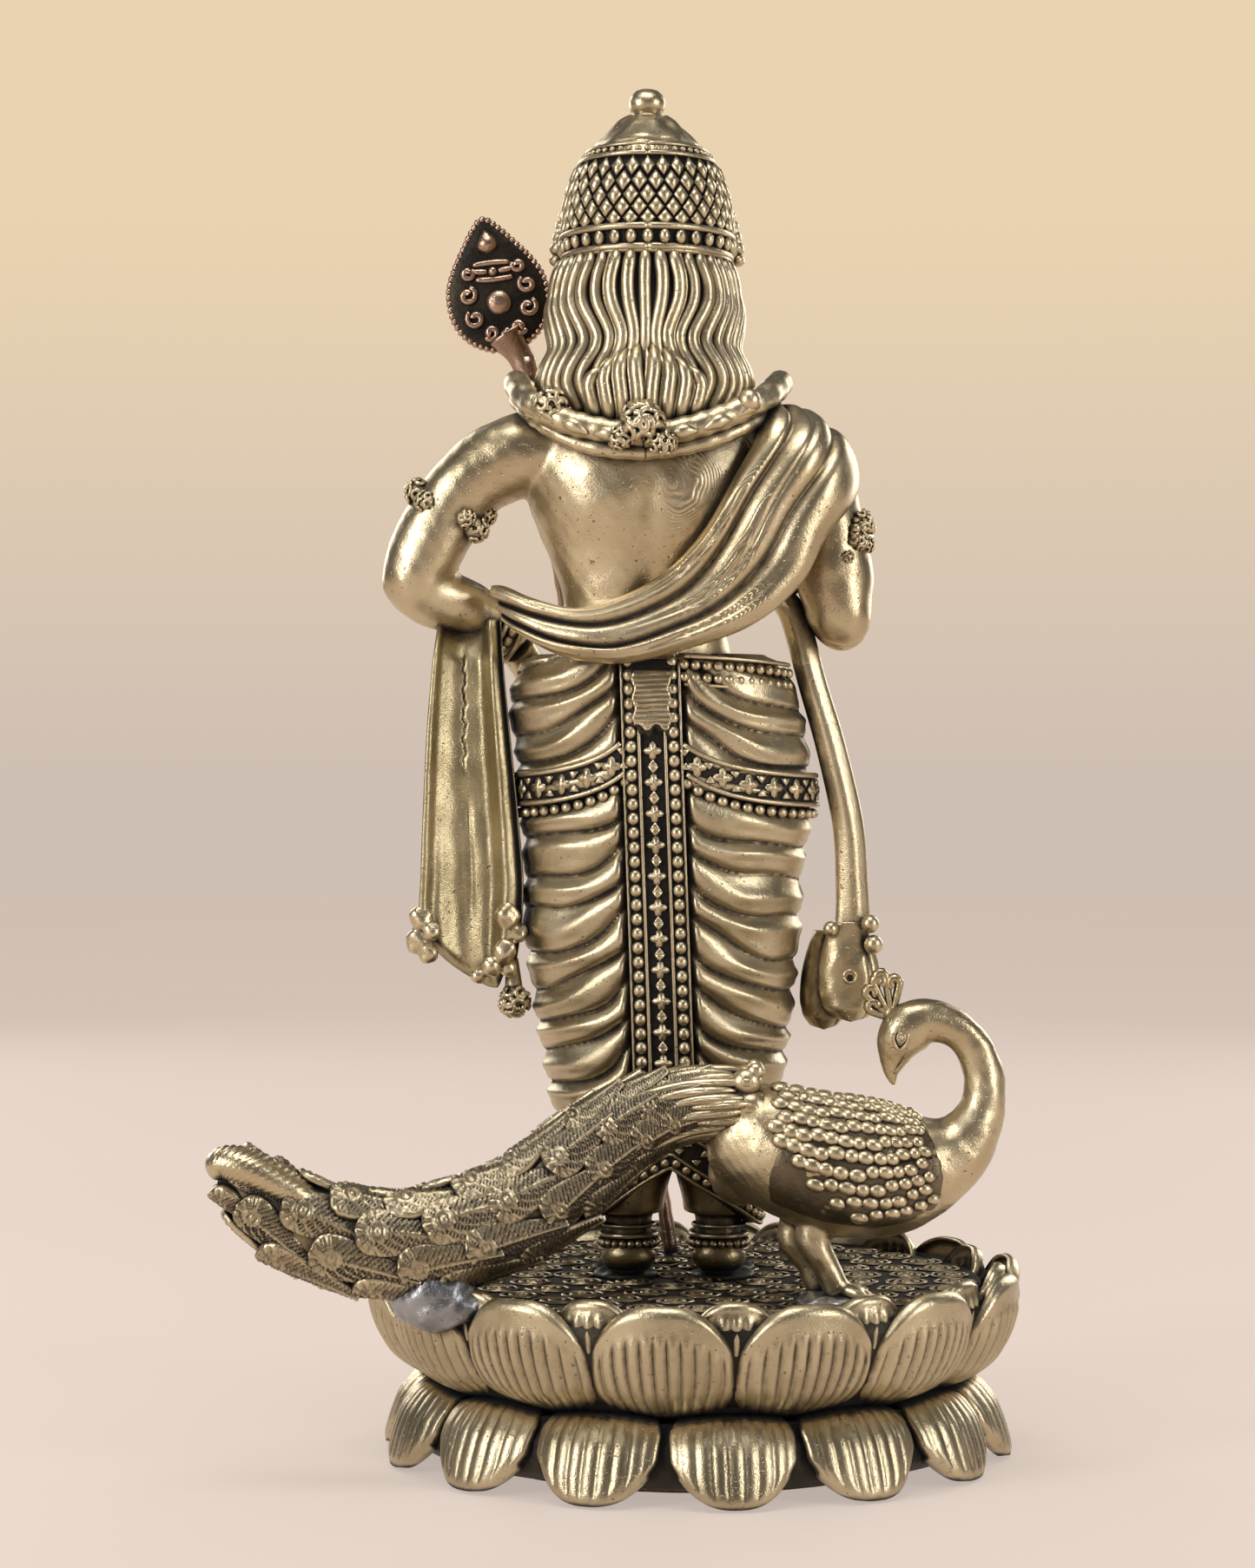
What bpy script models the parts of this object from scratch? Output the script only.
"""Hindu deity statue in cast brass: a standing figure with a spear on a double lotus, a peacock behind it.

Lengths are in millimetres and are turned into metres in new_solid. The figure faces -Y and its left
side is +X. Heights of the figure, spear and peacock are measured from the deck of the lotus.
"""

from math import acos, cos, pi, radians, sin, sqrt

import bmesh
import bpy
from mathutils import Matrix, Vector

MM = 0.001
CLEARANCE = 0.35  # between neighbouring castings

# Lotus base
PETALS = 14
PETAL_STEPS = 6  # facets across one petal
LOTUS_RADIUS = 50.5  # to the lip of the upper petals
SKIRT_RADIUS = 48.6  # to the tips of the lower petals
WAIST_RADIUS = 37.0  # where the two petal rings meet
WAIST_HEIGHT = 11.0
DECK_HEIGHT = 26.5  # the face that the figure stands on
DECK_THICKNESS = 2.4
LIP_RISE = 2.6  # how far the upper petals stand above the deck
PETAL_WALL = 2.6
CORE_RADIUS = 34.0
CORE_WALL = 3.0

# Figure
HIP_WIDTH = 22.6  # half width of the dhoti at the belt
HIP_DEPTH = 13.5
WAIST_TOP = 96.0  # top of the dhoti above the deck
HEM_TOP = 20.0  # where the dhoti parts into two hems
HEM_BOTTOM = 8.6
CHEST_WIDTH = 19.5
CHEST_DEPTH = 11.0
ARM_RADIUS = 5.0
HEAD_WIDTH = 11.0
HEAD_DEPTH = 11.5
HAIR_WIDTH = 16.4
HAIR_WALL = 3.6
CROWN_WIDTH = 13.2
CROWN_BOTTOM = 156.6
CROWN_BAND = 4.0
CROWN_DOME = 16.6
FINIAL_HEIGHT = 6.6
FINIAL_RADIUS = 2.7
GARLAND_RADIUS = 2.1
BELT_HEIGHT = 5.4
BELT_SHARE = 0.726  # its lower edge, as a share of the way from HEM_TOP to WAIST_TOP
BELT_DROP = 1.6  # how much lower it sits in front than behind
BELT_WALL = 1.3
BAND_WIDTH = 4.5  # half width of the strip down the back
BAND_WALL = 1.3
SHAWL_WALL = 2.6
DRAPE_WALL = 2.4
RING_WALL = 1.1  # armlets, bracelets and anklets

# Spear
SHAFT_RADIUS = 1.1
SPEAR_FOOT = Vector((3.4, -27.0, 0.0))
SPEAR_NECK = Vector((26.8, -13.0, 143.9))
BLADE_WIDTH = 7.3
BLADE_LENGTH = 20.5
BLADE_WALL = 2.6
BLADE_LEAN = radians(13.0)

# Peacock
PEACOCK_BODY = 10.0  # half height of the body
PEACOCK_NECK = 2.7
TRAIN_HALF = 8.2

BRASS = ("antique_brass", (0.62, 0.49, 0.27), 0.3, 1.0)
DARK_BRASS = ("dark_brass", (0.24, 0.16, 0.10), 0.4, 1.0)
SOLDER = ("solder", (0.30, 0.30, 0.29), 0.45, 0.9)


def material(kind):
    name, colour, roughness, metallic = kind
    found = bpy.data.materials.get(name)
    if found:
        return found
    made = bpy.data.materials.new(name)
    made.use_nodes = True
    shader = made.node_tree.nodes["Principled BSDF"]
    shader.inputs["Base Color"].default_value = (*colour, 1.0)
    shader.inputs["Roughness"].default_value = roughness
    shader.inputs["Metallic"].default_value = metallic
    return made


def clear_scene():
    for item in list(bpy.data.objects):
        bpy.data.objects.remove(item, do_unlink=True)


def new_empty(name, place):
    empty = bpy.data.objects.new(name, None)
    empty.location = place
    bpy.context.scene.collection.objects.link(empty)
    return empty


def new_solid(name, bm, kind=BRASS, origin=(0, 0, 0), parent=None):
    """Makes an object from bm, whose points are in millimetres, with its origin at a point of them."""
    bmesh.ops.remove_doubles(bm, verts=bm.verts, dist=0.001)
    bmesh.ops.recalc_face_normals(bm, faces=bm.faces)
    bmesh.ops.translate(bm, verts=bm.verts, vec=-Vector(origin))
    bmesh.ops.scale(bm, verts=bm.verts, vec=(MM, MM, MM))
    mesh = bpy.data.meshes.new(name)
    bm.to_mesh(mesh)
    bm.free()
    mesh.shade_smooth()
    mesh.set_sharp_from_angle(angle=radians(40))
    mesh.materials.append(material(kind))
    made = bpy.data.objects.new(name, mesh)
    made.location = Vector(origin) * MM
    made.parent = parent or frame
    bpy.context.scene.collection.objects.link(made)
    return made


def skin(rings, closed=False):
    """Joins rings of points into one closed shape, capped at both ends unless it runs round."""
    bm = bmesh.new()
    loops = [[bm.verts.new(point) for point in ring] for ring in rings]
    pairs = list(zip(loops, loops[1:]))
    if closed:
        pairs.append((loops[-1], loops[0]))
    count = len(loops[0])
    for low, high in pairs:
        for i in range(count):
            j = (i + 1) % count
            bm.faces.new((low[i], low[j], high[j], high[i]))
    if not closed:
        bm.faces.new(reversed(loops[0]))
        bm.faces.new(loops[-1])
    return bm


def oval(height, x, y, width, depth, sides):
    angles = [2 * pi * i / sides for i in range(sides)]
    return [Vector((x + width * sin(a), y + depth * cos(a), height)) for a in angles]


def stack(name, levels, sides=20, kind=BRASS):
    """A solid through level ovals, each (height above the deck, x, y, half width, half depth)."""
    return new_solid(name, skin([oval(DECK_HEIGHT + h, x, y, w, d, sides) for h, x, y, w, d in levels]), kind)


def smooth_route(points, steps):
    """Points of a smooth curve through the route's own points, steps to each stretch."""
    ends = [2 * points[0] - points[1], *points, 2 * points[-1] - points[-2]]
    route = []
    for a, b, c, d in zip(ends, ends[1:], ends[2:], ends[3:]):
        for i in range(steps):
            t = i / steps
            route.append(
                0.5 * (2 * b + (c - a) * t + (2 * a - 5 * b + 4 * c - d) * t**2 + (3 * b - 3 * c + d - a) * t**3)
            )
    route.append(points[-1])
    return route


def smooth_values(values, steps):
    return [v.x for v in smooth_route([Vector((v, 0, 0)) for v in values], steps)]


def tube_rings(route, wide, tall, sides, across=Vector((0, 1, 0))):
    """Ovals along a route: wide runs along the direction nearest to across, tall square to it."""
    rings = []
    for i, point in enumerate(route):
        along = (route[min(i + 1, len(route) - 1)] - route[max(i - 1, 0)]).normalized()
        side = (across - along * across.dot(along)).normalized()
        up = along.cross(side)
        angles = [2 * pi * k / sides for k in range(sides)]
        rings.append([point + side * wide[i] * cos(a) + up * tall[i] * sin(a) for a in angles])
    return rings


def limb(name, stations, steps=3, sides=12, across=(0, 1, 0)):
    """A solid along a smooth route. Each station is (point, half width, half height)."""
    route = smooth_route([Vector(p) for p, _, _ in stations], steps)
    wide = smooth_values([w for _, w, _ in stations], steps)
    tall = smooth_values([t for _, _, t in stations], steps)
    return new_solid(name, skin(tube_rings(route, wide, tall, sides, Vector(across))))


def deck(x, y, height):
    return Vector((x, y, DECK_HEIGHT + height))


def ring_on(name, low, high, inner, wall=RING_WALL, squash=1.0, sides=16):
    """A bead or band round a limb that runs from low to high."""
    along = (high - low).normalized()
    side = along.orthogonal().normalized()
    up = along.cross(side)
    profile = [(low, inner), (low, inner + wall), (high, inner + wall), (high, inner)]
    rings = []
    for k in range(sides):
        a = 2 * pi * k / sides
        out = side * cos(a) + up * sin(a) * squash
        rings.append([point + out * radius for point, radius in profile])
    return new_solid(name, skin(rings, closed=True))


def strip(name, outer, normals, wall, kind=BRASS):
    """A curved plate: each row of outer is one line across it, and wall goes inwards along normals."""
    rings = []
    for row, ways in zip(outer, normals):
        inner = [p - n * wall for p, n in zip(row, ways)]
        rings.append([*row, *reversed(inner)])
    return new_solid(name, skin(rings), kind)


def petal_wave(angle, shift):
    """0 between two petals and 1 at the middle of one, round at the top."""
    turn = (angle * PETALS / (2 * pi) + shift) % 1.0
    return sqrt(max(0.0, 1 - (2 * turn - 1) ** 2))


def petal_ring(name, profile, shift):
    """A ring of petals. profile gives (radius, height) for a wave from 0 to 1, as one closed outline."""
    count = PETALS * PETAL_STEPS
    rings = []
    for k in range(count):
        a = 2 * pi * k / count
        outline = profile(petal_wave(a, shift))
        rings.append([Vector((r * sin(a), r * cos(a), z)) for r, z in outline])
    return new_solid(name, skin(rings, closed=True))


def upper_profile(wave):
    lip = DECK_HEIGHT + LIP_RISE - 3.2 * (1 - wave)
    inner = CORE_RADIUS + CLEARANCE
    swell = 1.4 * wave
    under = DECK_HEIGHT - DECK_THICKNESS - CLEARANCE
    reach = LOTUS_RADIUS - 1.6 * (1 - wave)
    middle = WAIST_HEIGHT + 0.5 * (lip - WAIST_HEIGHT)
    return [
        (inner, WAIST_HEIGHT + CLEARANCE),
        (WAIST_RADIUS + 1.0, WAIST_HEIGHT + CLEARANCE),
        (WAIST_RADIUS + 6.4 + swell, WAIST_HEIGHT + 3.6),
        (WAIST_RADIUS + 10.4 + swell, middle + 1.0),
        (reach, lip - 1.6),
        (reach - 0.6, lip),
        (reach - PETAL_WALL, lip - 0.8),
        (reach - PETAL_WALL - 1.6, under),
        (inner, under),
    ]


def lower_profile(wave):
    tip = SKIRT_RADIUS - 5.2 * (1 - wave)
    low = 0.6 + 3.2 * (1 - wave)
    inner = CORE_RADIUS + CLEARANCE
    return [
        (inner, WAIST_HEIGHT - 5.4),
        (tip - 5.0, low + 0.6),
        (tip - 0.6, low),
        (tip, low + 0.9),
        (tip - 4.2, low + 4.6),
        (WAIST_RADIUS + 2.2, WAIST_HEIGHT - 1.2),
        (WAIST_RADIUS - 0.4, WAIST_HEIGHT),
        (inner, WAIST_HEIGHT),
    ]


def turned(name, outline, sides=48, kind=BRASS, place=(0, 0), squash=1.0):
    """A turned solid from a closed outline of (radius, height), or one that ends on the axis."""
    bm = bmesh.new()
    loops = []
    for radius, height in outline:
        if radius == 0:
            loops.append([bm.verts.new((*place, height))])
            continue
        angles = [2 * pi * k / sides for k in range(sides)]
        points = [(place[0] + radius * sin(a), place[1] + squash * radius * cos(a), height) for a in angles]
        loops.append([bm.verts.new(point) for point in points])
    pairs = list(zip(loops, loops[1:]))
    if outline[0][0] and outline[-1][0]:
        pairs.append((loops[-1], loops[0]))
    for low, high in pairs:
        for k in range(sides):
            n = (k + 1) % sides
            corners = [low[k % len(low)], low[n % len(low)], high[n % len(high)], high[k % len(high)]]
            bm.faces.new(list(dict.fromkeys(corners)))
    return new_solid(name, bm, kind)


def lotus_base():
    under = DECK_HEIGHT - DECK_THICKNESS
    top = under - CLEARANCE
    inner = CORE_RADIUS - CORE_WALL
    core = [(0, top), (CORE_RADIUS, top), (CORE_RADIUS, 0), (inner, 0), (inner, top - CORE_WALL), (0, top - CORE_WALL)]
    turned("lotus_core", core)
    petal_ring("upper_petals", upper_profile, 0.5)
    petal_ring("lower_petals", lower_profile, 0.0)
    radius = LOTUS_RADIUS - 1.6 - PETAL_WALL - 1.6 - 2 * CLEARANCE
    turned("deck_plate", [(0, DECK_HEIGHT), (radius, DECK_HEIGHT), (radius, under), (0, under)])


# The figure leans a little to its left as it rises, so each level has its own middle.
LEG_LEFT = (10.4, -3.0)
LEG_RIGHT = (-3.6, -3.0)


def feet():
    """Each foot runs from the toes to the heel and up the shin, on a pad that holds it to the deck."""
    for side, (x, y), turn in (("left", LEG_LEFT, 1.6), ("right", LEG_RIGHT, -1.6)):
        pad = 0.9
        sole = pad + CLEARANCE
        levels = [
            (deck(x + turn, y - 15.5, sole + 1.4), 2.6, 1.2),
            (deck(x + turn * 0.8, y - 11.5, sole + 2.0), 4.1, 1.9),
            (deck(x + turn * 0.3, y - 4.0, sole + 2.9), 4.2, 2.8),
            (deck(x, y + 1.8, sole + 4.2), 4.1, 3.9),
        ]
        limb(f"{side}_foot", levels, across=(1, 0, 0), sides=12)
        ankle = sole + 8.2
        shin = [
            (ankle - 3.4, x, y + 1.0, 3.6, 3.4),
            (ankle - 1.4, x, y + 0.6, 3.3, 3.3),
            (HEM_TOP - CLEARANCE, x, y, 4.0, 4.4),
        ]
        stack(f"{side}_shin", shin, sides=12)
        clear_of(f"{side}_shin", [f"{side}_foot"])
        low = deck(x, y + 0.8, ankle - 3.0)
        ring_on(f"{side}_anklet", low, low + Vector((0, 0, 2.0)), 4.0 + CLEARANCE, 1.0)
        clear_of(f"{side}_anklet", [f"{side}_foot", f"{side}_shin"])
        levels = [(CLEARANCE, x, y + 1.0, 4.6, 4.6), (pad, x, y + 1.0, 4.3, 4.3)]
        stack(f"{side}_heel_pad", levels, sides=12, kind=SOLDER)


DHOTI_LEVELS = (
    # share of the height from hem to waist, x, y, share of hip width, share of hip depth
    (0.0, 4.2, -3.0, 0.74, 0.86),
    (0.12, 4.4, -3.0, 0.79, 0.90),
    (0.32, 4.6, -2.6, 0.90, 0.95),
    (0.55, 4.9, -2.2, 0.96, 0.97),
    (0.72, 5.2, -2.0, 1.00, 1.00),
    (0.84, 6.0, -1.8, 0.98, 0.97),
    (0.94, 7.2, -1.6, 0.90, 0.90),
    (1.0, 7.6, -1.5, 0.82, 0.84),
)


def dhoti_at(height):
    """(x, y, half width, half depth) of the dhoti at a height above the deck."""
    share = (height - HEM_TOP) / (WAIST_TOP - HEM_TOP)
    for low, high in zip(DHOTI_LEVELS, DHOTI_LEVELS[1:]):
        if share <= high[0]:
            t = (share - low[0]) / (high[0] - low[0])
            x, y, w, d = (a + (b - a) * t for a, b in zip(low[1:], high[1:]))
            return x, y, w * HIP_WIDTH, d * HIP_DEPTH
    x, y, w, d = DHOTI_LEVELS[-1][1:]
    return x, y, w * HIP_WIDTH, d * HIP_DEPTH


def on_dhoti(share):
    """The height above the deck at a share of the way from the hem to the waist."""
    return HEM_TOP + share * (WAIST_TOP - HEM_TOP)


def dhoti():
    levels = [(on_dhoti(share), *dhoti_at(on_dhoti(share))) for share, *_ in DHOTI_LEVELS]
    stack("dhoti", levels, sides=24)
    for side, (x, y), out in (("left", LEG_LEFT, 0.8), ("right", LEG_RIGHT, -0.8)):
        low = [(HEM_BOTTOM, x + out, y, 6.0, 7.6), (HEM_TOP - CLEARANCE, x + out * 0.4, y, 6.3, 9.4)]
        stack(f"{side}_hem", low, sides=16)
        clear_of(f"{side}_hem", [f"{side}_shin"])


def back_band():
    """The strip down the middle of the back of the dhoti, from the waist almost to the hem."""
    rows, ways = [], []
    top, bottom, count = WAIST_TOP - 1.0, HEM_TOP + 13.0, 9
    for i in range(count):
        height = bottom + (top - bottom) * i / (count - 1)
        x, y, width, depth = dhoti_at(height)
        middle = 5.2 + 2.6 * (height - bottom) / (top - bottom)
        row, way = [], []
        for k in range(5):
            px = middle + BAND_WIDTH * (k / 2 - 1)
            a = (px - x) / width
            out = Vector((a / width, sqrt(1 - a * a) / depth, 0)).normalized()
            surface = Vector((px, y + depth * sqrt(1 - a * a), DECK_HEIGHT + height))
            row.append(surface + out * (BAND_WALL + CLEARANCE))
            way.append(out)
        rows.append(row)
        ways.append(way)
    strip("back_band", rows, ways, BAND_WALL)


def hip_belt():
    """A belt round the hips, open at the back where the strip passes."""
    bottom = on_dhoti(BELT_SHARE)
    width = dhoti_at(bottom + BELT_HEIGHT / 2)[2]
    rings = []
    count = 30
    gap = (BAND_WIDTH + 2 * CLEARANCE + 0.8) / width
    for i in range(count + 1):
        a = gap + (2 * pi - 2 * gap) * i / count
        low = bottom + BELT_DROP * (1 + cos(a)) / 2
        high = low + BELT_HEIGHT
        ring = []
        for height, out in ((low, 0), (low, BELT_WALL), (high, BELT_WALL), (high, 0)):
            cx, cy, w, d = dhoti_at(height)
            w, d = w + CLEARANCE + out + 0.25, d + CLEARANCE + out + 0.25
            ring.append(deck(cx + 0.4 + w * sin(a), cy + d * cos(a), height))
        rings.append(ring)
    new_solid("hip_belt", skin(rings))
    clear_of("hip_belt", ["dhoti", "back_band"])


def front_pleats():
    """The fan of pleats that hangs from the belt down the front."""
    rows, ways = [], []
    for share, half, reach in ((-0.08, 5.4, 2.6), (0.26, 4.6, 3.0), (0.55, 3.6, 3.2), (0.80, 2.8, 3.4)):
        height = on_dhoti(share)
        _, y, _, depth = dhoti_at(max(height, HEM_TOP))
        row = []
        for k in range(5):
            side = k / 2 - 1
            row.append(deck(3.6 + half * side, y - depth - reach + 0.9 * side * side, height))
        rows.append(row)
        ways.append([Vector((0, -1, 0))] * 5)
    strip("front_pleats", rows, ways, 3.4)
    clear_of("front_pleats", ["dhoti", "hip_belt", "left_hem", "right_hem", "left_shin", "right_shin"])


def torso_and_head():
    bottom = WAIST_TOP + CLEARANCE
    levels = [
        (bottom, 7.8, -1.5, 0.76 * CHEST_WIDTH, 0.80 * CHEST_DEPTH),
        (105.0, 7.8, -1.2, 0.72 * CHEST_WIDTH, 0.80 * CHEST_DEPTH),
        (114.0, 7.2, -0.8, 0.88 * CHEST_WIDTH, 0.96 * CHEST_DEPTH),
        (122.0, 6.8, -0.4, 1.00 * CHEST_WIDTH, 1.00 * CHEST_DEPTH),
        (129.0, 6.8, 0.0, 0.96 * CHEST_WIDTH, 0.88 * CHEST_DEPTH),
        (133.0, 7.0, 0.0, 0.62 * CHEST_WIDTH, 0.62 * CHEST_DEPTH),
        (136.0, 7.2, -1.0, 5.6, 5.6),
        (139.0, 7.3, -2.0, 5.2, 5.2),
    ]
    stack("torso", levels, sides=20)
    top = CROWN_BOTTOM - CLEARANCE
    face = [
        (136.0, 7.4, -8.6, 2.6, 2.6),
        (138.6, 7.4, -5.6, 6.6, 7.6),
        (143.0, 7.5, -3.4, 0.90 * HEAD_WIDTH, 0.92 * HEAD_DEPTH),
        (149.0, 7.5, -2.4, HEAD_WIDTH, HEAD_DEPTH),
        (top, 7.5, -2.2, 0.98 * HEAD_WIDTH, HEAD_DEPTH),
    ]
    stack("head", face, sides=18)
    clear_of("head", ["torso"])


def hair():
    """Long hair down the back of the head, hollow towards the head and neck."""
    levels = (
        # height above the deck, x, y, share of width, depth behind y, half opening angle
        (131.6, 8.0, 1.5, 0.50, 10.8, 0.62),
        (135.0, 8.0, 1.0, 0.86, 12.0, 0.62),
        (141.0, 8.0, 0.0, 1.00, 13.8, 0.62),
        (148.0, 7.8, -1.4, 0.92, 14.6, 0.60),
        (CROWN_BOTTOM - CLEARANCE, 7.5, -2.2, 0.82, 14.6, 0.60),
    )
    rings = []
    count = 14
    for height, x, y, share, depth, half in levels:
        ring = []
        for wall in (0.0, HAIR_WALL):
            arc = []
            for i in range(count + 1):
                a = pi * half * (2 * i / count - 1)
                wide, deep = share * HAIR_WIDTH - wall, depth - wall
                arc.append(deck(x + wide * sin(a), y + deep * cos(a), height))
            ring.extend(arc if not wall else reversed(arc))
        rings.append(ring)
    new_solid("hair", skin(rings))
    clear_of("hair", ["head", "torso", "garland"])


def crown():
    x, y = 7.5, -2.2
    depth = 1.04
    low = DECK_HEIGHT + CROWN_BOTTOM
    high = low + CROWN_BAND
    band = [(0, low), (CROWN_WIDTH, low), (CROWN_WIDTH, high), (0, high)]
    turned("crown_band", band, 28, place=(x, y), squash=depth)
    start = high + CLEARANCE
    shares = ((1.0, 0.0), (0.99, 0.26), (0.93, 0.48), (0.78, 0.68), (0.52, 0.84), (0.22, 0.97))
    dome = [(0, start), *((CROWN_WIDTH * r, start + CROWN_DOME * h) for r, h in shares), (0, start + CROWN_DOME)]
    turned("crown_dome", dome, 28, place=(x, y), squash=depth)
    foot = start + CROWN_DOME + CLEARANCE
    ball = foot + FINIAL_HEIGHT - FINIAL_RADIUS
    knob = [(0, foot), (2.6, foot), (1.7, foot + 1.4)]
    for i in range(1, 7):
        a = -0.9 + (pi / 2 + 0.9) * i / 7
        knob.append((FINIAL_RADIUS * cos(a), ball + FINIAL_RADIUS * sin(a)))
    turned("crown_finial", [*knob, (0, ball + FINIAL_RADIUS)], 16, place=(x, y))
    for side, way in (("left", 1), ("right", -1)):
        centre = deck(x + way * (HEAD_WIDTH + 2.6), y - 4.2, CROWN_BOTTOM - 4.4)
        rows = [(centre - Vector((0, 0, 3.4)), 1.2, 1.2), (centre, 1.6, 2.4), (centre + Vector((0, 0, 3.8)), 1.2, 1.2)]
        limb(f"{side}_ear_ornament", rows, steps=2, sides=8, across=(1, 0, 0))
        clear_of(f"{side}_ear_ornament", ["head", "hair"])
    plate = []
    for angle_share in range(9):
        a = pi * (angle_share / 8)
        plate.append((6.4 * cos(a), 9.4 * sin(a)))
    bm = bmesh.new()
    front, back = -CROWN_WIDTH * depth + y - 2.2, -CROWN_WIDTH * depth + y + 2.5
    faces = [[bm.verts.new((x + px, py, low + 0.6 + pz)) for px, pz in plate] for py in (front, back)]
    bm.faces.new(faces[0])
    bm.faces.new(reversed(faces[1]))
    for i in range(len(plate)):
        j = (i + 1) % len(plate)
        bm.faces.new((faces[0][j], faces[0][i], faces[1][i], faces[1][j]))
    new_solid("crown_plaque", bm)
    clear_of("crown_plaque", ["crown_band", "crown_dome"])


def garland():
    """A closed loop: a shallow curve across the back of the neck and a long one down the chest."""
    back = CHEST_DEPTH + GARLAND_RADIUS + 0.2
    front = -CHEST_DEPTH - GARLAND_RADIUS - 0.8
    points = [
        deck(8.0, back, 129.4),
        deck(17.4, back - 2.4, 132.4),
        deck(24.6, back - 7.6, 137.4),
        deck(26.6, -3.6, 138.6),
        deck(21.0, front + 2.6, 131.0),
        deck(18.6, front - 1.0, 116.0),
        deck(8.0, front - 1.4, 104.0),
        deck(-3.0, front - 1.0, 116.0),
        deck(-8.0, front + 1.6, 131.0),
        deck(-11.4, -3.6, 138.6),
        deck(-9.2, back - 7.6, 137.4),
        deck(-1.6, back - 2.4, 132.4),
    ]
    looped = [points[-1], *points, points[0], points[1]]
    route = smooth_route(looped, 4)[4 : 4 + 4 * len(points)]
    rings = []
    for i, point in enumerate(route):
        along = (route[(i + 1) % len(route)] - route[i - 1]).normalized()
        out = point - deck(7.6, 0, 0)
        out.z = 0
        out = (out - along * out.dot(along)).normalized()
        up = along.cross(out)
        angles = [2 * pi * k / 8 for k in range(8)]
        rings.append([point + GARLAND_RADIUS * (out * cos(a) + up * sin(a)) for a in angles])
    new_solid("garland", skin(rings, closed=True))
    clear_of("garland", ["torso", "left_upper_arm", "right_upper_arm", "head"])


SHOULDER_LEFT = (24.2, 0.0, 128.6)
ELBOW_LEFT = (43.6, 0.6, 108.4)
WRIST_LEFT = (29.0, -7.0, 98.6)
SHOULDER_RIGHT = (-12.0, 0.0, 128.6)
ELBOW_RIGHT = (-22.0, -0.8, 103.6)
WRIST_RIGHT = (-21.0, -19.4, 113.4)


def arms():
    r = ARM_RADIUS
    levels = [(deck(*SHOULDER_LEFT), r, r * 1.12), (deck(34.8, 0.2, 121.2), r, r), (deck(41.4, 0.4, 113.0), r, r)]
    limb("left_upper_arm", [*levels, (deck(*ELBOW_LEFT), r * 0.86, r * 0.9)])
    elbow = deck(*ELBOW_LEFT)
    wrist = deck(*WRIST_LEFT)
    levels = [
        (elbow + Vector((2.4, 0.2, -0.4)), 0.50 * r, 0.50 * r),
        (elbow + Vector((0.2, 0.2, -2.2)), 0.92 * r, 0.9 * r),
        (elbow.lerp(wrist, 0.55) + Vector((0, 0, -0.6)), 0.84 * r, 0.8 * r),
        (wrist, 0.62 * r, 0.62 * r),
    ]
    limb("left_forearm", levels)
    clear_of("left_forearm", ["left_upper_arm"])
    elbow = deck(*ELBOW_RIGHT)
    wrist = deck(*WRIST_RIGHT)
    levels = [
        (deck(*SHOULDER_RIGHT), r, r * 1.1),
        (deck(-19.0, 0.2, 118.6), r * 1.02, r * 1.02),
        (elbow + Vector((0, 0.6, 1.6)), r * 0.96, r * 0.96),
    ]
    limb("right_upper_arm", levels)
    levels = [
        (elbow + Vector((0, 1.6, -3.4)), 0.6 * r, 0.5 * r),
        (elbow + Vector((0, -1.6, -1.8)), 0.94 * r, 0.9 * r),
        (elbow.lerp(wrist, 0.55), 0.82 * r, 0.8 * r),
        (wrist, 0.58 * r, 0.62 * r),
    ]
    limb("right_forearm", levels, across=(1, 0, 0))
    clear_of("right_forearm", ["right_upper_arm"])
    clear_of("left_upper_arm", ["torso"])
    clear_of("right_upper_arm", ["torso"])


def spear_point(share):
    return Vector((0, 0, DECK_HEIGHT + CLEARANCE)) + SPEAR_FOOT.lerp(SPEAR_NECK, share)


def hands():
    """The left fist closes round the spear. The right palm is raised in front with its fingers up."""
    grip = spear_point(0.600)
    wrist = deck(*WRIST_LEFT)
    start = wrist + (grip - wrist).normalized() * 1.2
    levels = [(start, 2.8, 2.8), (start.lerp(grip, 0.5), 3.6, 4.4), (grip + Vector((-1.0, -0.6, 0)), 3.6, 5.0)]
    levels.append((grip + Vector((-4.0, -1.8, 0)), 2.2, 3.6))
    limb("left_hand", levels, sides=12)
    clear_of("left_hand", ["left_forearm", "dhoti", "hip_belt"])
    axis = (SPEAR_NECK - SPEAR_FOOT).normalized()
    room = [SHAFT_RADIUS + CLEARANCE] * 2
    hole = tube_rings([grip - axis * 14, grip + axis * 14], room, room, 12)
    cutter = new_solid("spear_grip_hole", skin(hole), DARK_BRASS)
    cut("left_hand", cutter)
    wrist = deck(*WRIST_RIGHT)
    palm = [
        (wrist + Vector((0, -0.8, 1.4)), 2.6, 2.0),
        (wrist + Vector((0, -2.0, 4.6)), 4.6, 1.9),
        (wrist + Vector((0, -2.4, 10.0)), 4.9, 1.7),
        (wrist + Vector((0, -2.0, 16.4)), 4.0, 1.3),
        (wrist + Vector((0, -1.4, 19.4)), 2.0, 0.9),
    ]
    limb("right_hand", palm, across=(1, 0, 0))
    clear_of("right_hand", ["right_forearm"])


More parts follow.
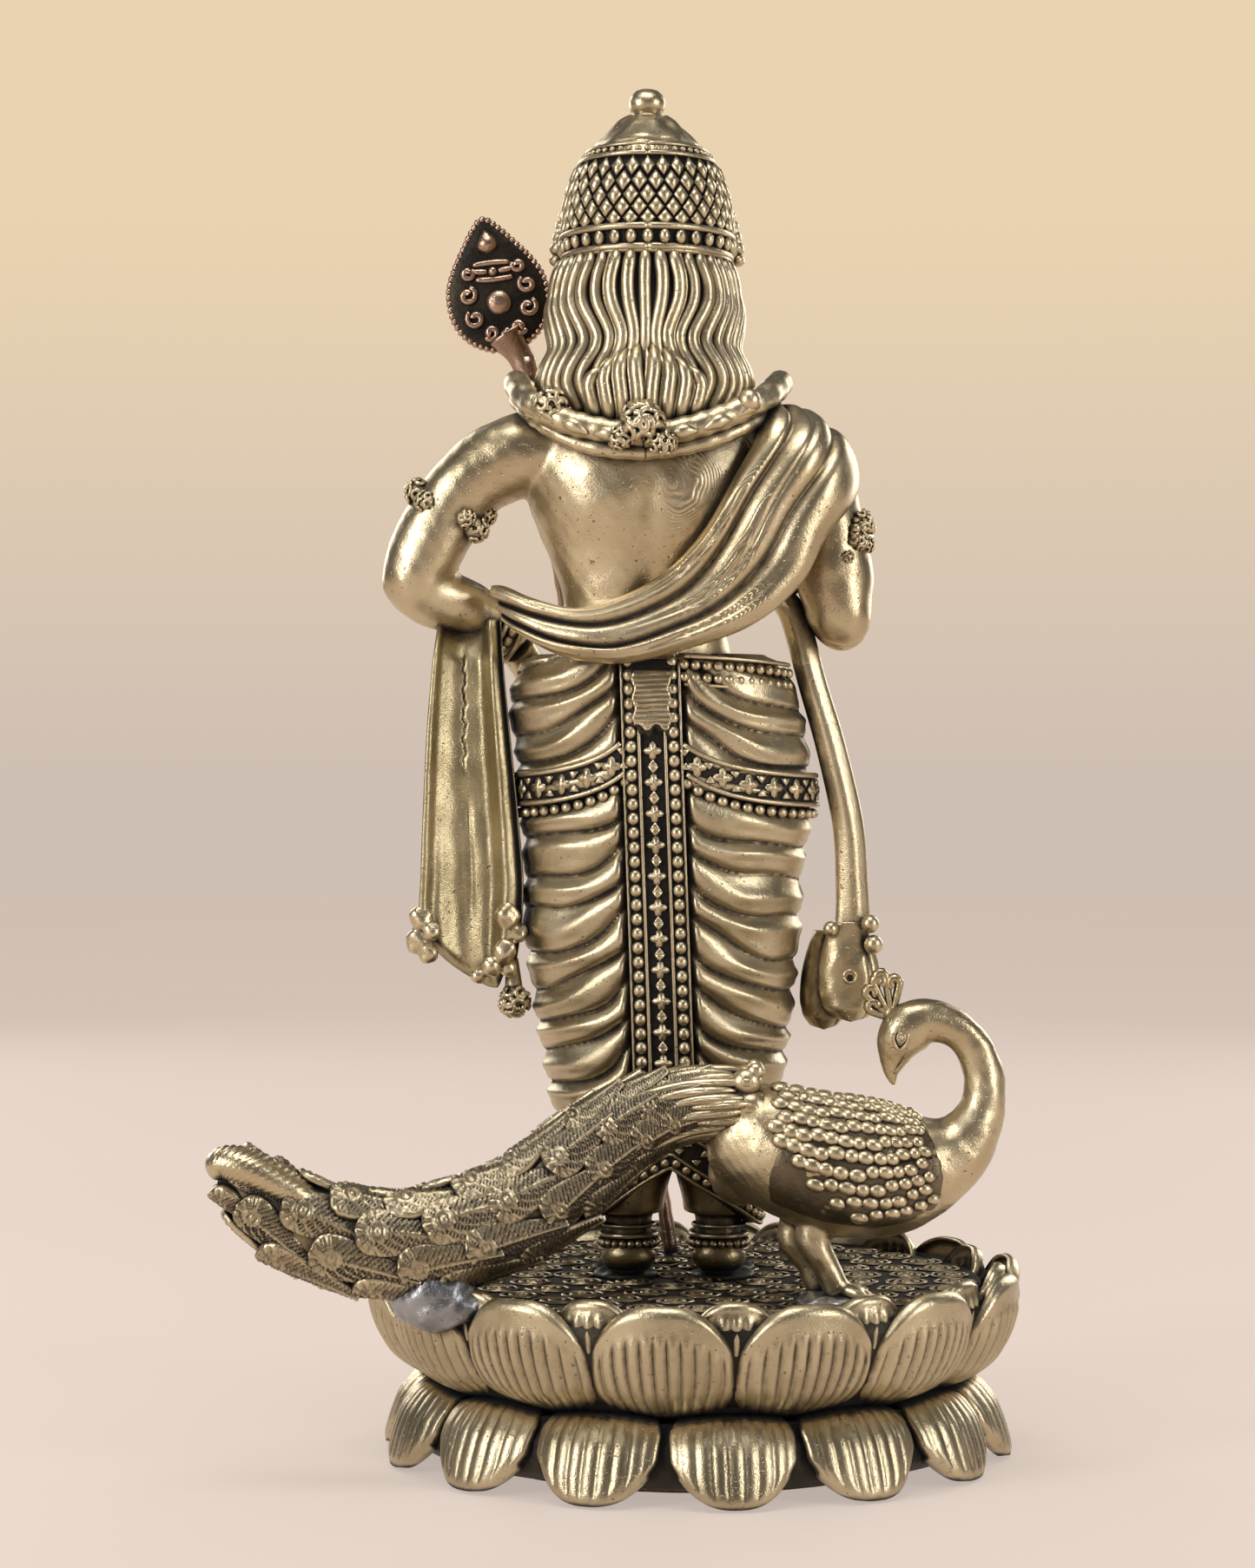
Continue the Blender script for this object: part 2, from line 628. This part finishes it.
def bangles():
    r = ARM_RADIUS
    low, high = deck(35.6, 0.2, 120.6), deck(39.0, 0.3, 116.8)
    ring_on("left_armlet", low, high, r + CLEARANCE + 0.15)
    low, high = deck(-19.8, 0.1, 116.6), deck(-20.6, 0.0, 112.4)
    ring_on("right_armlet", low, high, r + CLEARANCE + 0.25)
    for side, elbow, wrist in (("left", ELBOW_LEFT, WRIST_LEFT), ("right", ELBOW_RIGHT, WRIST_RIGHT)):
        start, end = deck(*elbow), deck(*wrist)
        along = (end - start).normalized()
        low = end - along * 4.2
        ring_on(f"{side}_bracelet", low, low + along * 2.8, 0.68 * r + CLEARANCE + 0.3, 1.0)
        clear_of(f"{side}_bracelet", [f"{side}_forearm", f"{side}_hand"])
    clear_of("left_armlet", ["left_upper_arm", "torso"])
    clear_of("right_armlet", ["right_upper_arm"])


SHAWL_ROWS = (
    # upper edge x, height, lower edge x, height, y of the middle: from the right shoulder to the left forearm
    (-7.5, 139.2, -20.5, 131.0, -6.0),
    (-9.6, 140.6, -23.2, 130.2, 0.5),
    (-12.4, 136.4, -25.2, 120.4, 7.4),
    (-9.3, 128.4, -21.6, 114.8, 11.6),
    (-3.9, 119.0, -14.7, 105.4, 14.0),
    (3.2, 111.0, -6.4, 99.4, 15.0),
    (11.6, 106.6, 5.8, 96.4, 15.4),
    (21.0, 105.8, 20.2, 97.6, 13.4),
    (27.0, 106.8, 27.0, 100.6, 9.4),
    (31.6, 107.8, 32.0, 101.8, 5.8),
)


def shawl():
    """A folded cloth from the right shoulder across the lower back to the left forearm."""
    tops = smooth_route([deck(x, y, h) for x, h, _, _, y in SHAWL_ROWS], 2)
    lows = smooth_route([deck(x, y, h) for _, _, x, h, y in SHAWL_ROWS], 2)
    rings = []
    for i, (top, low) in enumerate(zip(tops, lows)):
        before = (tops[max(i - 1, 0)] + lows[max(i - 1, 0)]) / 2
        after = (tops[min(i + 1, len(tops) - 1)] + lows[min(i + 1, len(lows) - 1)]) / 2
        along = (after - before).normalized()
        across = low - top
        out = across.cross(along).normalized()
        outer = [top.lerp(low, k / 4) + out * 1.6 * sin(pi * (0.1 + 0.8 * k / 4)) for k in range(5)]
        inner = [p - out * SHAWL_WALL for p in outer]
        rings.append([*outer, *reversed(inner)])
    new_solid("shawl", skin(rings))
    clear_of("shawl", ["torso", "dhoti", "garland", "right_upper_arm", "left_upper_arm", "left_forearm"])
    clear_of("shawl", ["back_band", "right_armlet", "left_bracelet"])


def drapes():
    """The shawl's two ends: a wide one below the left forearm and a rolled one at the right side."""
    x, _, width, _ = dhoti_at(on_dhoti(BELT_SHARE))
    inner = x + width + 2 * CLEARANCE + 0.6
    rows, ways = [], []
    for height, left, right, y in (
        (101.0, 40.4, inner + 1.6, 2.6),
        (88.0, 41.6, inner + 0.2, 1.6),
        (70.0, 42.6, inner + 0.2, 0.6),
        (52.0, 42.8, inner - 0.4, 0.2),
        (46.4, 36.8, inner + 3.2, 0.2),
    ):
        row = []
        for k in range(5):
            share = k / 4
            bow = 2.2 * sin(pi * share)
            row.append(deck(left + (right - left) * share, y + 1.2 - bow, height))
        rows.append(row)
        ways.append([Vector((0, 1, 0))] * 5)
    strip("left_drape", rows, ways, DRAPE_WALL)
    clear_of("left_drape", ["left_forearm", "shawl", "left_bracelet", "dhoti", "hip_belt"])
    place = (inner + 2.2, -1.0)
    low = DECK_HEIGHT + 40.9
    outline = [(0, low), (1.6, low + 0.5), (2.6, low + 2.2), (2.6, low + 3.6), (1.4, low + 5.4), (0, low + 5.6)]
    turned("left_tassel", outline, 12, place=place)
    levels = [
        (deck(-14.8, -3.0, 104.4), 1.8, 1.8),
        (deck(-18.6, -3.2, 92.0), 2.1, 1.9),
        (deck(-21.4, -3.0, 80.0), 2.4, 2.1),
        (deck(-23.8, -2.8, 66.0), 2.5, 2.1),
        (deck(-24.3, -2.6, 56.4), 2.5, 2.0),
        (deck(-24.6, -2.4, 48.0), 4.1, 1.6),
        (deck(-25.6, -2.2, 40.0), 2.2, 1.4),
    ]
    limb("right_drape", levels, steps=2, sides=10, across=(1, 0, 0))
    clear_of("right_drape", ["dhoti", "hip_belt", "torso", "shawl", "right_upper_arm", "right_forearm"])


def spear():
    """The shaft stands on the deck and carries the blade. Both lift out along the shaft."""
    start, end = spear_point(0), spear_point(1)
    axis = (end - start).normalized()
    pivot = new_empty("spear_lift_axis", start * MM)
    pivot.parent = frame
    pivot.rotation_mode = "QUATERNION"
    pivot.rotation_quaternion = axis.to_track_quat("Z", "Y")
    bpy.context.view_layer.update()
    r = SHAFT_RADIUS
    stop = end - axis * CLEARANCE
    shaft = skin(tube_rings([start, start.lerp(stop, 0.5), stop], [r] * 3, [r] * 3, 10))
    settle(new_solid("spear_shaft", shaft, DARK_BRASS, start), pivot)
    lean = Matrix.Rotation(BLADE_LEAN, 3, "Y")
    up = lean @ Vector((0, 0, 1))
    side = lean @ Vector((1, 0, 0))
    rings = []
    neck = 4.0
    count = 11
    for i in range(count + 1):
        share = i / count
        along = neck + BLADE_LENGTH * share
        round_share = acos(1 - 2 * min(1.0, share / 0.98)) / pi
        wide = max(0.5, BLADE_WIDTH * sin(pi * round_share ** 0.92) ** 0.85)
        if share == 0:
            wide = 1.7
        thick = BLADE_WALL / 2 * (1.0 if share < 0.8 else 0.7)
        centre = end + up * along
        rings.append(
            [
                centre + side * wide,
                centre + side * wide * 0.8 + Vector((0, thick, 0)),
                centre - side * wide * 0.8 + Vector((0, thick, 0)),
                centre - side * wide,
                centre - side * wide * 0.8 - Vector((0, thick, 0)),
                centre + side * wide * 0.8 - Vector((0, thick, 0)),
            ]
        )
    settle(new_solid("spear_blade", skin(rings), DARK_BRASS), pivot)
    socket = [end, end + up * (neck - CLEARANCE)]
    settle(new_solid("spear_socket", skin(tube_rings(socket, [1.7, 2.0], [1.7, 2.0], 10)), DARK_BRASS), pivot)


def settle(item, pivot):
    """Hangs an object on the pivot without moving it."""
    item.parent = pivot
    item.matrix_parent_inverse = pivot.matrix_world.inverted() @ frame.matrix_world


PERCH = (-20.5, 27.0)  # where the peacock's feet stand on the deck


def peacock():
    b, n = PEACOCK_BODY, PEACOCK_NECK
    y = PERCH[1] + 0.5
    body = [
        (deck(-4.0, y - 1.5, 23.8), 0.44 * b, 0.40 * b),
        (deck(-6.6, y - 1.2, 23.2), 0.76 * b, 0.76 * b),
        (deck(-13.0, y - 0.6, 21.4), 0.90 * b, 0.94 * b),
        (deck(-21.0, y, 19.6), 0.92 * b, 1.02 * b),
        (deck(-29.6, y, 19.0), 0.80 * b, 0.92 * b),
        (deck(-36.4, y, 22.4), 0.54 * b, 0.60 * b),
        (deck(-41.0, y, 28.6), n * 1.3, n * 1.36),
    ]
    limb("peacock_body", body, steps=2, sides=14)
    neck = [
        (deck(-41.0, y, 28.6) + Vector((-0.14, 0, 0.36)), n * 1.24, n * 1.30),
        (deck(-42.4, y, 33.2), n, n * 1.06),
        (deck(-40.4, y, 38.8), n * 0.92, n * 0.94),
        (deck(-36.2, y, 41.8), n * 0.92, n * 0.94),
        (deck(-32.8, y, 41.6), n * 1.0, n * 1.0),
    ]
    limb("peacock_neck", neck, steps=3, sides=12)
    clear_of("peacock_neck", ["peacock_body"])
    head = [
        (deck(-33.4, y, 41.6), 2.4, 2.4),
        (deck(-30.6, y, 40.6), 2.9, 3.2),
        (deck(-28.8, y, 37.6), 2.0, 2.2),
        (deck(-28.5, y, 34.8), 1.0, 1.2),
        (deck(-28.7, y, 32.0), 0.4, 0.4),
    ]
    limb("peacock_head", head, steps=2, sides=10)
    clear_of("peacock_head", ["peacock_neck"])
    crest = [
        (deck(-29.0, y, 43.4), 0.9, 0.9),
        (deck(-28.2, y, 46.0), 0.8, 1.8),
        (deck(-27.8, y, 48.4), 0.8, 2.8),
        (deck(-27.4, y, 49.6), 0.6, 1.8),
    ]
    limb("peacock_crest", crest, steps=2, sides=8)
    clear_of("peacock_crest", ["peacock_head"])
    for side, dy, dx in (("left", -2.6, 2.6), ("right", 2.8, 0.0)):
        x, ly = PERCH[0] + dx, PERCH[1] + dy
        foot = CLEARANCE + 1.5
        leg = [
            (deck(x - 0.5, ly, 11.6), 2.4, 2.2),
            (deck(x + 2.4, ly, 9.6), 1.6, 1.5),
            (deck(x + 1.0, ly, 5.6), 1.1, 1.2),
            (deck(x + 0.2, ly, foot + 1.6), 1.2, 1.3),
            (deck(x - 4.4, ly, foot + 0.6), 1.7, 0.8),
        ]
        limb(f"peacock_{side}_leg", leg, steps=3, sides=8)
        clear_of(f"peacock_{side}_leg", ["peacock_body", "peacock_foot_pad"])
    pad = [(CLEARANCE, PERCH[0] + 0.2, PERCH[1] + 0.6, 6.2, 5.4), (1.3, PERCH[0] + 0.2, PERCH[1] + 0.6, 5.6, 4.8)]
    stack("peacock_foot_pad", pad, sides=14, kind=SOLDER)


def train():
    t = TRAIN_HALF
    y = PERCH[1]
    levels = [
        (deck(-5.4, y, 26.2), 0.62 * t, 0.52 * t),
        (deck(2.0, y + 0.6, 26.2), 0.66 * t, 0.58 * t),
        (deck(12.6, y + 1.4, 22.6), 0.70 * t, 0.72 * t),
        (deck(23.6, y + 2.6, 16.4), 0.74 * t, 0.90 * t),
        (deck(32.0, y + 3.6, 12.2), 0.72 * t, 1.00 * t),
        (deck(42.0, y + 4.4, 9.4), 0.64 * t, 0.98 * t),
        (deck(52.0, y + 5.0, 11.8), 0.54 * t, 0.96 * t),
        (deck(60.4, y + 5.4, 16.4), 0.42 * t, 0.80 * t),
        (deck(66.2, y + 5.6, 19.6), 0.28 * t, 0.44 * t),
        (deck(69.0, y + 5.6, 21.2), 0.14 * t, 0.16 * t),
    ]
    limb("peacock_train", levels, steps=2, sides=12)
    clear_of("peacock_train", ["peacock_body", "upper_petals"])
    spot = (35.0, y + 2.4)
    outline = [(DECK_HEIGHT + CLEARANCE, 1.1), (DECK_HEIGHT + 3.0, 1.0), (DECK_HEIGHT + 7.0, 0.9)]
    rings = [oval(z, *spot, 6.6 * share, 5.2 * share, 14) for z, share in outline]
    new_solid("train_pad", skin(rings), SOLDER)
    clear_of("train_pad", ["peacock_train", "upper_petals"])


cut_jobs = []


def clear_of(name, others):
    """Notes that a casting keeps clear of the named ones. The cuts are made once all of them exist."""
    cut_jobs.append((name, others))


def cut(name, cutter):
    cutter.hide_render = True
    cutter.display_type = "WIRE"
    job = bpy.data.objects[name].modifiers.new(f"clear {cutter.name}", "BOOLEAN")
    job.operation = "DIFFERENCE"
    job.solver = "EXACT"
    job.object = cutter


def swollen(name):
    """A copy of a casting grown on all sides by the clearance, made once."""
    found = bpy.data.objects.get(f"{name}_room")
    if found:
        return found
    source = bpy.data.objects[name]
    copy = source.copy()
    copy.name = f"{name}_room"
    copy.data = source.data.copy()
    copy.modifiers.clear()
    bm = bmesh.new()
    bm.from_mesh(copy.data)
    bm.normal_update()
    for vert in bm.verts:
        vert.co += vert.normal * CLEARANCE * MM * vert.calc_shell_factor()
    bm.to_mesh(copy.data)
    bm.free()
    bpy.context.scene.collection.objects.link(copy)
    return copy


def make_cuts():
    for name, others in cut_jobs:
        for other in others:
            cut(name, swollen(other))


def centre_frame():
    """Moves the whole model so that the middle of its outline on the ground is the origin."""
    bpy.context.view_layer.update()
    shown = [item for item in bpy.data.objects if item.type == "MESH" and not item.hide_render]
    corners = [item.matrix_world @ Vector(corner) for item in shown for corner in item.bound_box]
    for axis in (0, 1):
        places = [corner[axis] for corner in corners]
        frame.location[axis] -= (min(places) + max(places)) / 2


clear_scene()
frame = new_empty("statue_frame", (0, 0, 0))
lotus_base()
feet()
dhoti()
back_band()
hip_belt()
front_pleats()
torso_and_head()
hair()
crown()
arms()
garland()
hands()
bangles()
shawl()
drapes()
spear()
peacock()
train()
make_cuts()
centre_frame()
